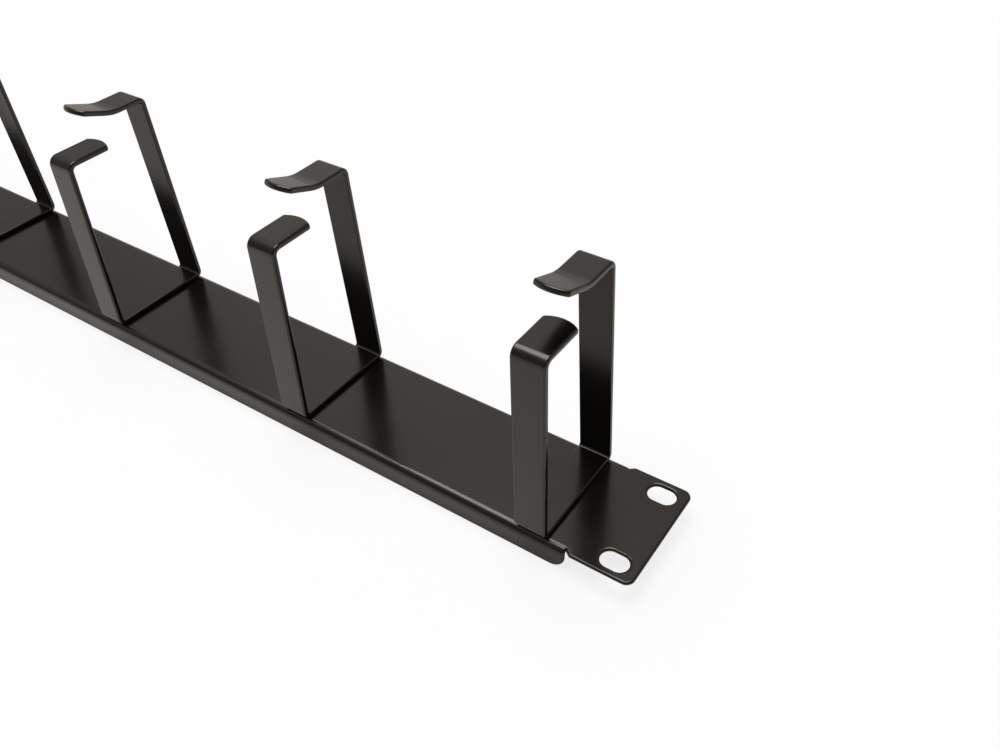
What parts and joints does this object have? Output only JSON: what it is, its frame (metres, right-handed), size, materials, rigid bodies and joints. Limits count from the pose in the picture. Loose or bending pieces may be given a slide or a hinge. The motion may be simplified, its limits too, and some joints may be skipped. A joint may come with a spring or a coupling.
{
  "type": "rack cable management panel",
  "caption": "Flat rack panel with folded long edges, slotted ears and a row of bent steel rings whose overlapping fingers hold cables across its front.",
  "frame": {"origin": "under the middle of the panel, on the plane of its flange edges, which it rests on", "axes": "+X along the panel's length, +Y across it from the rings' short arms to their long arms, +Z out of its front; in a rack +Z points out of the rack and +Y up"},
  "size_m": [0.4826, 0.0438, 0.0993],
  "materials": {
    "black_powder_coat": "semi-matt black powder coat"
  },
  "bodies": {
    "root": {"front_panel": "black_powder_coat", "cable_ring_1": "black_powder_coat", "cable_ring_2": "black_powder_coat", "cable_ring_3": "black_powder_coat", "cable_ring_4": "black_powder_coat", "cable_ring_5": "black_powder_coat"}
  },
  "joints": []
}
